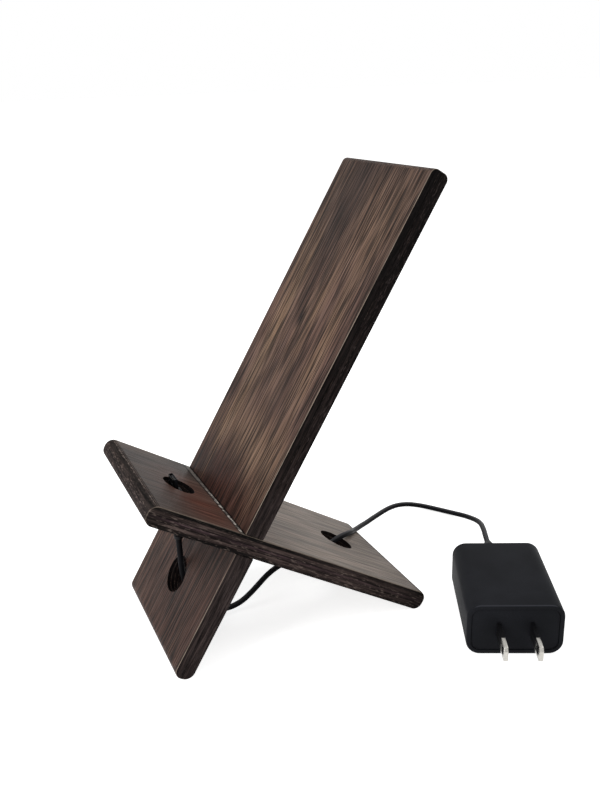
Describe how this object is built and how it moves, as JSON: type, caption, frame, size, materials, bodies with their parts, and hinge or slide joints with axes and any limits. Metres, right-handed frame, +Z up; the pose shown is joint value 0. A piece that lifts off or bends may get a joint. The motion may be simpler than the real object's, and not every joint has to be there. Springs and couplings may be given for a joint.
{
  "type": "phone holder",
  "caption": "Stand of crossed dark plywood boards that slide together and hold a phone upright, with its charging plug, cord and wall charger threaded through round holes.",
  "frame": {"origin": "centre of the boards' footprint, on the table", "axes": "+Z up, -Y towards the person who looks at the phone, +X towards the side that the wall charger lies on; X runs across the boards' width"},
  "size_m": [0.1401, 0.1723, 0.1793],
  "materials": {
    "dark_wood": "satin",
    "cord_jacket": "satin",
    "black_moulding": "matte",
    "case_plastic": "matte",
    "plug_steel": "satin",
    "gold_plating": "polished",
    "blade_nickel": "polished",
    "spring_brass": "satin",
    "board_laminate": "satin",
    "ferrite": "matte",
    "resistor_coating": "gloss",
    "component_epoxy": "matte",
    "can_sleeve": "gloss",
    "yellow_tape": "gloss",
    "white_epoxy": "matte",
    "blue_coating": "gloss",
    "wire_insulation": "satin"
  },
  "bodies": {
    "shelf": {"shelf_board": "dark_wood", "cord_front": "cord_jacket", "cord_rear": "cord_jacket", "plug_overmould": "black_moulding", "plug_shell": "plug_steel", "plug_tongue": "black_moulding", "plug_contacts": "gold_plating", "plug_latches": "plug_steel", "charger_case": "case_plastic", "charger_end_cap": "case_plastic", "blade_left": "blade_nickel", "blade_right": "blade_nickel", "blade_contact_left": "spring_brass", "blade_contact_right": "spring_brass", "circuit_board": "board_laminate", "input_choke": "ferrite", "fusible_resistor": "resistor_coating", "input_diodes": "component_epoxy", "input_capacitor_front": "can_sleeve", "input_capacitor_rear": "can_sleeve", "transformer_core": "ferrite", "transformer_bobbin": "black_moulding", "transformer_winding": "yellow_tape", "controller_chip": "component_epoxy", "optocoupler": "white_epoxy", "safety_capacitor": "blue_coating", "output_diode": "component_epoxy", "output_capacitor": "can_sleeve", "output_wires": "wire_insulation", "charger_strain_relief": "black_moulding"},
    "backrest": {"backrest_board": "dark_wood"}
  },
  "joints": [
    {"name": "board_slide", "type": "slide", "parent": "shelf", "child": "backrest", "axis": [-1, 0, 0], "range_m": [0, 0.034], "deforming": ["cord_front", "cord_rear"]}
  ]
}
